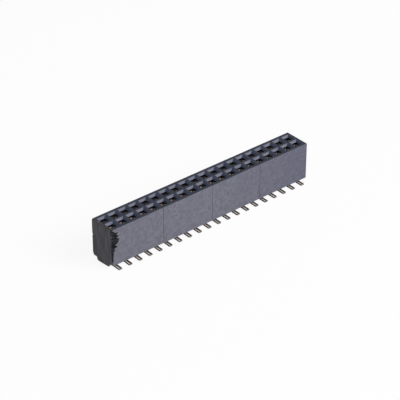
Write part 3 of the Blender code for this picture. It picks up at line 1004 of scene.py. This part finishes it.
def beside_painted_highlight(tree, place):
    """A mask that is 0 on the painted highlight, a line left of each foot's middle, and full on the dark
    painted reflection on both sides of it.

    The distance from the nearest of these lines comes from the pitch.
    """
    along = add(tree, "ShaderNodeSeparateXYZ", {0: place}, "X")
    along = add(tree, "ShaderNodeMath", {0: along, 1: FIRST_X - PAINTED_HIGHLIGHT_SHIFT}, operation="SUBTRACT")
    aside = add(tree, "ShaderNodeMath", {0: along, 1: PITCH / 2}, operation="PINGPONG")
    span = {"From Min": PAINTED_HIGHLIGHT_HALF_WIDTH, "From Max": PAINTED_HIGHLIGHT_HALF_WIDTH + PAINTED_DARK_BAND_RUN, "To Max": 0.95}
    return add(tree, "ShaderNodeMapRange", {"Value": aside, **span})


def near_foot_tip(tree, place, most):
    """A mask that rises at the tips of the feet, whose ends are a dull, paler grey."""
    across = add(tree, "ShaderNodeSeparateXYZ", {0: place}, "Y")
    across = add(tree, "ShaderNodeMath", {0: across}, operation="ABSOLUTE")
    span = {"From Min": FOOT_REACH - FOOT_TIP, "From Max": FOOT_REACH, "To Max": most}
    return add(tree, "ShaderNodeMapRange", {"Value": across, **span})


def plated_faces():
    """Gold above, tin below, and a soft line between the two baths.

    The tin has a painted highlight along a line left of each foot's middle, and dark painted reflection
    and shade beside it.
    """
    made, tree, shader = new_material("gold and matt tin plated phosphor bronze")
    place = add(tree, "ShaderNodeTexCoord", output="Object")
    haze = patches(tree, place, 0.3 * MM)
    # The near-white tin shows only as a painted highlight along each foot; the dark brown beside it is
    # painted reflection and shade
    tin = layered(
        tree,
        "#fbf0e8",
        (haze, "#e0d3ca"),
        (beside_painted_highlight(tree, place), "#2b221d"),
        (near_foot_tip(tree, place, 0.6), "#96918d"),
    )
    gold = layered(tree, "#d9bda4", (haze, "#b99a80"))
    bath = ramp(tree, place, "Z", TIN_BELOW, GOLD_ABOVE)
    outputs = {
        "Base Color": layered(tree, tin, (bath, gold)),
        "Metallic": add(tree, "ShaderNodeMapRange", {"Value": bath, "To Min": 0.2, "To Max": 0.85}),
        "Roughness": add(tree, "ShaderNodeMapRange", {"Value": haze, "To Min": 0.34, "To Max": 0.48}),
    }
    cover(tree, shader, place, 0.06 * MM, 0.002 * MM, **outputs)
    return made


def cut_edges():
    """Sheared edges: bare brown bronze below, while the gold bath covers the tips' edges too."""
    made, tree, shader = new_material("sheared phosphor bronze edge", Roughness=0.45)
    place = add(tree, "ShaderNodeTexCoord", output="Object")
    stain = patches(tree, place, 0.15 * MM)
    bronze = layered(tree, "#1f1612", (stain, "#382a22"), (near_foot_tip(tree, place, 0.8), "#a39e9a"))
    gold = layered(tree, "#dcc4b8", (stain, "#bca093"))
    bath = ramp(tree, place, "Z", TIN_BELOW, GOLD_ABOVE)
    metallic = add(tree, "ShaderNodeMapRange", {"Value": bath, "To Min": 1.0, "To Max": 0.6})
    tree.links.new(layered(tree, bronze, (bath, gold)), shader.inputs["Base Color"])
    tree.links.new(metallic, shader.inputs["Metallic"])
    return made


PLATED, SHEARED = range(2)
metals = (plated_faces(), cut_edges())
print("metal finishes:", [made.name for made in metals])

# %% [markdown]
# ## The contact's sheet
# The press bends one flat blank. Blocks joined end to end would show their joints at each bend, so
# the model bends a sheet too: edges are pulled out of edges along the middle of the sheet, a little
# at a time round each bend. The strip is then given its thickness, and the rim is beveled as the
# blank's edges are rounded by the press.

# %% Contact sizes
SHEET = 0.155 * MM
CHANNEL_BOTTOM = WALL_FOOT + 0.12 * MM
CHANNEL_HEIGHT = 1.05 * MM
CHANNEL_TOP = CHANNEL_BOTTOM + CHANNEL_HEIGHT
FOLD_RADIUS = 0.09 * MM
FOLD_STEPS = 3
BARB_HEIGHT = 0.42 * MM
BARB_REACH = 0.07 * MM
BEAM_WIDTH = 0.34 * MM
BEAM_ROOT = 1.2  # width at the root, as a share of the beam's
BEAM_TIP = 0.72  # and at the tip
BEAM_TAPER = 3  # the tip tapers over one part in this many of its length
BEAM_STEPS = 8
BEAM_TURN_STEPS = 2
PINCH_GAP = 0.29 * MM
PINCH_DROP = 0.72 * MM
TIP_FLARE = 0.45
TIP_TOP = CAVITY_TOP - 0.11 * MM
TONGUE_WIDTH = 0.38 * MM
TONGUE_TIP = 0.75  # width at the tip, as a share of the tongue's
TONGUE_LEAN = 0.04 * MM
TONGUE_FLARE = 1.4  # how far the tip flares back, in leans
TONGUE_FLARE_AT = 0.8  # share of the tongue's height
TONGUE_STEPS = 10
FOOT_WIDTH = 0.45 * MM
FOOT_BEND = 0.20 * MM
FOOT_BEND_STEPS = 8
FOOT_STEPS = 4
TIP_STEPS = 4
TIP_RADIUS = 0.10 * MM
EDGE_ROUND = 0.06 * MM
EDGE_ROUND_STEPS = 2
SIDE_X = CONTACT_LENGTH / 2 - SHEET / 2
SPINE_Y = CONTACT_DEPTH / 2 - SHEET / 2


def pull(bm, edges, offset, width=None):
    """Extrudes a strip's end edges by an offset, and gives the new end a width about its middle."""
    made = bmesh.ops.extrude_edge_only(bm, edges=edges)
    verts = new_parts(made, VERT)
    bmesh.ops.translate(bm, vec=offset, verts=verts)
    if width is not None:
        first, second = verts
        middle = (first.co + second.co) / 2
        along = (second.co - first.co).normalized() * width / 2
        first.co = middle - along
        second.co = middle + along
    return new_parts(made, EDGE)


print(f"sheet {SHEET / MM:.3f} mm thick, foot {FOOT_WIDTH / MM:.2f} mm wide")

# %% [markdown]
# ## The channel
# The folded base holds the contact in its cavity. A block with a slot would look the same from
# above but not from the open side. Here a U of edges is raised twice, and its free edges reach out
# at the middle level: those are the barbs that bite into the plastic.

# %% Contact channel


def channel(bm):
    """The folded base: a U of sheet, open to the outside, with barbs part of the way up."""
    open_y = -CONTACT_DEPTH / 2 + BARB_REACH
    outline = [Vector((SIDE_X, open_y, CHANNEL_BOTTOM))]
    for step in range(FOLD_STEPS + 1):
        turn = math.pi / 2 * step / FOLD_STEPS
        across = SIDE_X - FOLD_RADIUS * (1 - math.cos(turn))
        outline.append(Vector((across, SPINE_Y - FOLD_RADIUS * (1 - math.sin(turn)), CHANNEL_BOTTOM)))
    outline += [Vector((-p.x, p.y, p.z)) for p in reversed(outline)]
    verts = [bm.verts.new(point) for point in outline]
    lower = [bm.edges.new(pair) for pair in zip(verts, verts[1:])]
    row = lower
    for rise_by, reach in ((BARB_HEIGHT, BARB_REACH), (CHANNEL_HEIGHT - BARB_HEIGHT, 0.0)):
        made = bmesh.ops.extrude_edge_only(bm, edges=row)
        raised = new_parts(made, VERT)
        bmesh.ops.translate(bm, vec=(0.0, 0.0, rise_by), verts=raised)
        outer = min(v.co.y for v in raised)
        for vert in raised:
            if vert.co.y < outer + SHEET / 2:
                vert.co.y = open_y - reach
        row = new_parts(made, EDGE)
    return row, lower


print(f"channel up to {CHANNEL_TOP / MM:.2f} mm, barbs {BARB_REACH / MM:.2f} mm long")

# %% [markdown]
# ## Beams, tongue and foot
# Two beams and a tongue grip the pin, and a leg carries the current down to the foot. A curve with
# a bevel would make them of wire. Each is pulled out of an edge of the channel in small steps
# instead, so that it stays one sheet and can bend and narrow as the press bends and cuts it.

# %% Contact beams, tongue and foot


def ease(share):
    """Runs from 0 to 1 with a level start and a level end."""
    return (1 - math.cos(math.pi * share)) / 2


def pull_beam(bm, row, side):
    """A side beam: it bows in to grip the pin, and flares out again at its tip."""
    on_this_side = (e for e in row if side * middle_of(e).x > SIDE_X / 2)
    beam = [max(on_this_side, key=EDGE.calc_length)]
    middle_y = middle_of(beam[0]).y
    grip_rise = TIP_TOP - CHANNEL_TOP - PINCH_DROP
    inwards = side * (PINCH_GAP / 2 + SHEET / 2 - SIDE_X)
    reached = 0.0
    for step in range(1, BEAM_STEPS + 1):
        goal = inwards * ease(step / BEAM_STEPS)
        turn_in = -middle_y / BEAM_TURN_STEPS if step <= BEAM_TURN_STEPS else 0.0
        width = BEAM_WIDTH if step > 1 else BEAM_WIDTH * BEAM_ROOT
        beam = pull(bm, beam, (goal - reached, turn_in, grip_rise / BEAM_STEPS), width)
        reached = goal
    for step in range(1, BEAM_STEPS + 1):
        goal = inwards * (1 - ease(step / BEAM_STEPS) * TIP_FLARE)
        left = min(1.0, (1 - step / BEAM_STEPS) * BEAM_TAPER)
        width = BEAM_WIDTH * (BEAM_TIP + (1 - BEAM_TIP) * math.sqrt(left))
        beam = pull(bm, beam, (goal - reached, 0.0, PINCH_DROP / BEAM_STEPS), width)
        reached = goal


def on_spine(row):
    """The edge of a row in the middle of the contact's spine."""
    return max(row, key=lambda e: (middle_of(e).y, -abs(middle_of(e).x)))


def pull_tongue(bm, row):
    """The tongue on the spine: it leans on the pin and flares at its tip."""
    tongue = [on_spine(row)]
    rise_by = (TIP_TOP - CHANNEL_TOP) / TONGUE_STEPS
    reached = 0.0
    for step in range(1, TONGUE_STEPS + 1):
        share = step / TONGUE_STEPS
        flare = max(0.0, share - TONGUE_FLARE_AT) / (1 - TONGUE_FLARE_AT)
        goal = -TONGUE_LEAN * (ease(min(1.0, share / TONGUE_FLARE_AT)) - TONGUE_FLARE * flare)
        width = TONGUE_WIDTH * (TONGUE_TIP if step == TONGUE_STEPS else 1.0)
        tongue = pull(bm, tongue, (0.0, goal - reached, rise_by), width)
        reached = goal


def pull_foot(bm, lower):
    """The leg, its bend and the flat solder foot with its round tip."""
    leg = [on_spine(lower)]
    drop = CHANNEL_BOTTOM - SHEET / 2 - FOOT_BEND
    leg = pull(bm, leg, (0.0, 0.0, -drop / 2), FOOT_WIDTH)
    leg = pull(bm, leg, (0.0, 0.0, -drop / 2))
    for step in range(FOOT_BEND_STEPS):
        start, end = (math.pi / 2 * (step + i) / FOOT_BEND_STEPS for i in (0, 1))
        back = FOOT_BEND * (math.cos(end) - math.cos(start))
        down = FOOT_BEND * (math.sin(start) - math.sin(end))
        leg = pull(bm, leg, (0.0, back, down))
    run = FOOT_REACH - ROW_SPACING / 2 + SPINE_Y - FOOT_BEND - TIP_RADIUS
    for _ in range(FOOT_STEPS):
        leg = pull(bm, leg, (0.0, -run / FOOT_STEPS, 0.0))
    for step in range(1, TIP_STEPS + 1):
        start, end = (math.pi / 2 * (step - i) / TIP_STEPS for i in (1, 0))
        ahead = TIP_RADIUS * (math.sin(end) - math.sin(start))
        width = FOOT_WIDTH - 2 * TIP_RADIUS * (1 - math.cos(end))
        leg = pull(bm, leg, (0.0, -ahead, 0.0), width)


def contact_mesh():
    """One contact about its own centre line, with its spine towards +Y."""
    bm = bmesh.new()
    upper, lower = channel(bm)
    for side in (-1, 1):
        pull_beam(bm, upper, side)
    pull_tongue(bm, upper)
    pull_foot(bm, lower)
    sheet = shown(bm, "contact sheet", metals)
    thickness = sheet.modifiers.new("sheet thickness", "SOLIDIFY")
    thickness.thickness = SHEET
    thickness.offset = 0.0
    thickness.use_even_offset = True
    thickness.material_offset_rim = SHEARED
    settle(sheet)
    bm = bmesh.new()
    bm.from_mesh(sheet.data)
    rim = [e for e in bm.edges if len({f.material_index for f in e.link_faces}) == 2]
    round_off(bm, rim, EDGE_ROUND, EDGE_ROUND_STEPS, SHEARED)
    bm.to_mesh(sheet.data)
    bm.free()
    mesh = sheet.data
    bpy.data.objects.remove(sheet)
    print("one contact:", len(mesh.polygons), "faces")
    return mesh


one_contact = contact_mesh()

# %% [markdown]
# ## Forty contacts
# Objects that share one mesh would be lighter. But every contact is a piece of its own, and has its
# place in its mesh, as the solids have theirs, so each gets a copy. The back row is the front row
# turned half round, so that all spines stand along the strip's middle.

# %% Place the contacts
for row, side in (("front", -1), ("back", 1)):
    turned = Matrix.Rotation(math.pi if side > 0 else 0.0, 4, "Z")
    for index in range(POSITIONS):
        node = f"contact_{row}_{index + 1:02d}"
        place = Matrix.Translation((FIRST_X + index * PITCH, side * ROW_SPACING / 2, 0.0))
        mesh = one_contact.copy()
        mesh.transform(place @ turned)
        mesh.shade_smooth()
        mesh.set_sharp_from_angle(angle=SHARP_ANGLE)
        piece = bpy.data.objects.new(f"plated_{node}", mesh)
        scene.collection.objects.link(piece)
        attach(piece, "root")
        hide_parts(node)
print("contacts placed:", 2 * POSITIONS)

# %% [markdown]
# ## The floor
# The photograph's ground is plain white, with hardly a shadow. Stronger lamps would whiten the
# floor, and bleach the part with it. So the floor is a white sheet at board level, turned up at its
# rim. To the camera and in reflections most of its brightness is its own, at the strength of white,
# and the rest takes the part's faint shadow.

# %% Floor
FLOOR_SIZE = 1200 * MM
FLOOR_RIM = 120 * MM
FLOOR_DROP = 0.002 * MM
FLOOR_LIFT = 0.90


def floor_paper():
    """Matt white paper, lifted to white where it is seen directly or in a reflection."""
    made, tree, shader = new_material("matt white paper", Roughness=0.9)
    shader.inputs["Base Color"].default_value = colour("#f6f6f6")
    seen = add(tree, "ShaderNodeLightPath", output="Is Camera Ray")
    for ray in ("Is Glossy Ray", "Is Transmission Ray"):
        mirrored = add(tree, "ShaderNodeLightPath", output=ray)
        seen = add(tree, "ShaderNodeMath", {0: seen, 1: mirrored}, operation="MAXIMUM")
    share = add(tree, "ShaderNodeMath", {0: seen, 1: FLOOR_LIFT}, operation="MULTIPLY")
    white = add(tree, "ShaderNodeEmission", {"Color": colour("#ffffff"), "Strength": 1.0})
    mixed = add(tree, "ShaderNodeMixShader", {0: share, 1: shader.outputs[0], 2: white})
    tree.links.new(mixed, tree.nodes["Material Output"].inputs["Surface"])
    return made


bm = bmesh.new()
bmesh.ops.create_grid(bm, x_segments=1, y_segments=1, size=FLOOR_SIZE / 2)
bmesh.ops.translate(bm, vec=(0.0, 0.0, -FLOOR_DROP), verts=bm.verts)
raised = bmesh.ops.extrude_edge_only(bm, edges=bm.edges)
bmesh.ops.translate(bm, vec=(0.0, 0.0, FLOOR_RIM), verts=new_parts(raised, VERT))
floor = shown(bm, "floor", [floor_paper()])
floor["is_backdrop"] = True
print(f"floor {FLOOR_SIZE / MM:.0f} mm wide, {FLOOR_DROP / MM:.3f} mm below the feet")

# %% [markdown]
# The dressed part must be the same size as the solids. An assertion could stop the script where it
# isn't, but two printed boxes also say which side is off.

made_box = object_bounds()
boxes = {"cad": [list(corner) for corner in cad_box], "visual": [list(corner) for corner in made_box]}
print("CAD box", boxes["cad"])
print("visual box", boxes["visual"])
